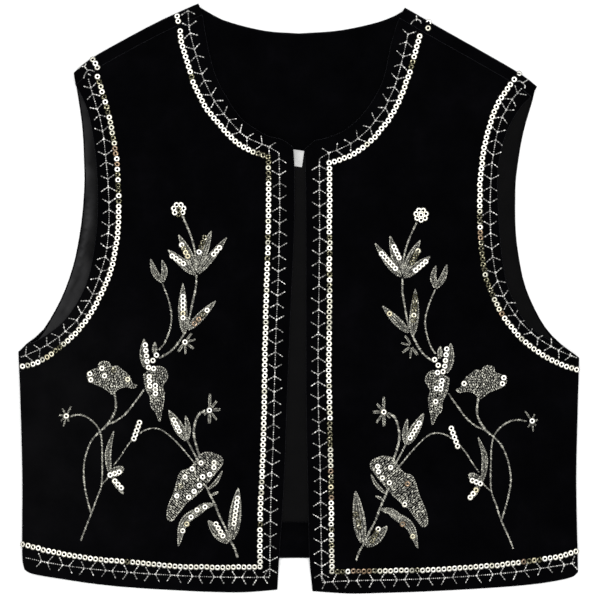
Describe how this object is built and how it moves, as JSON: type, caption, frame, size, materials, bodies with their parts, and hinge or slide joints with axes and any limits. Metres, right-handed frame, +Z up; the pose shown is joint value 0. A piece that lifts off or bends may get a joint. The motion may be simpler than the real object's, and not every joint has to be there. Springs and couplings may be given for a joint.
{
  "type": "velvet vest",
  "caption": "Cropped sleeveless velvet vest with a round neck and open front, laid flat with the fronts on the lined back; sequin and stitched trim along its edges.",
  "frame": {"origin": "middle of the vest's laid outline, on the surface it lies on", "axes": "+Z up from that surface, out of the fronts; +Y from the hem to the neck; +X to the wearer's left"},
  "size_m": [0.4604, 0.4854, 0.0073],
  "materials": {
    "velvet": "black cotton velvet with a short dense pile",
    "lining": "black satin lining, softly shiny",
    "tag": "white woven tape, blank",
    "sequins": "champagne silver cup sequins",
    "thread": "silver grey embroidery thread with a light sheen"
  },
  "bodies": {
    "root": {"back_panel": "velvet", "front_right": "velvet", "front_left": "velvet", "back_neck_facing": "velvet", "back_hem_facing": "velvet", "back_lining": "lining", "label": "tag"}
  },
  "joints": []
}
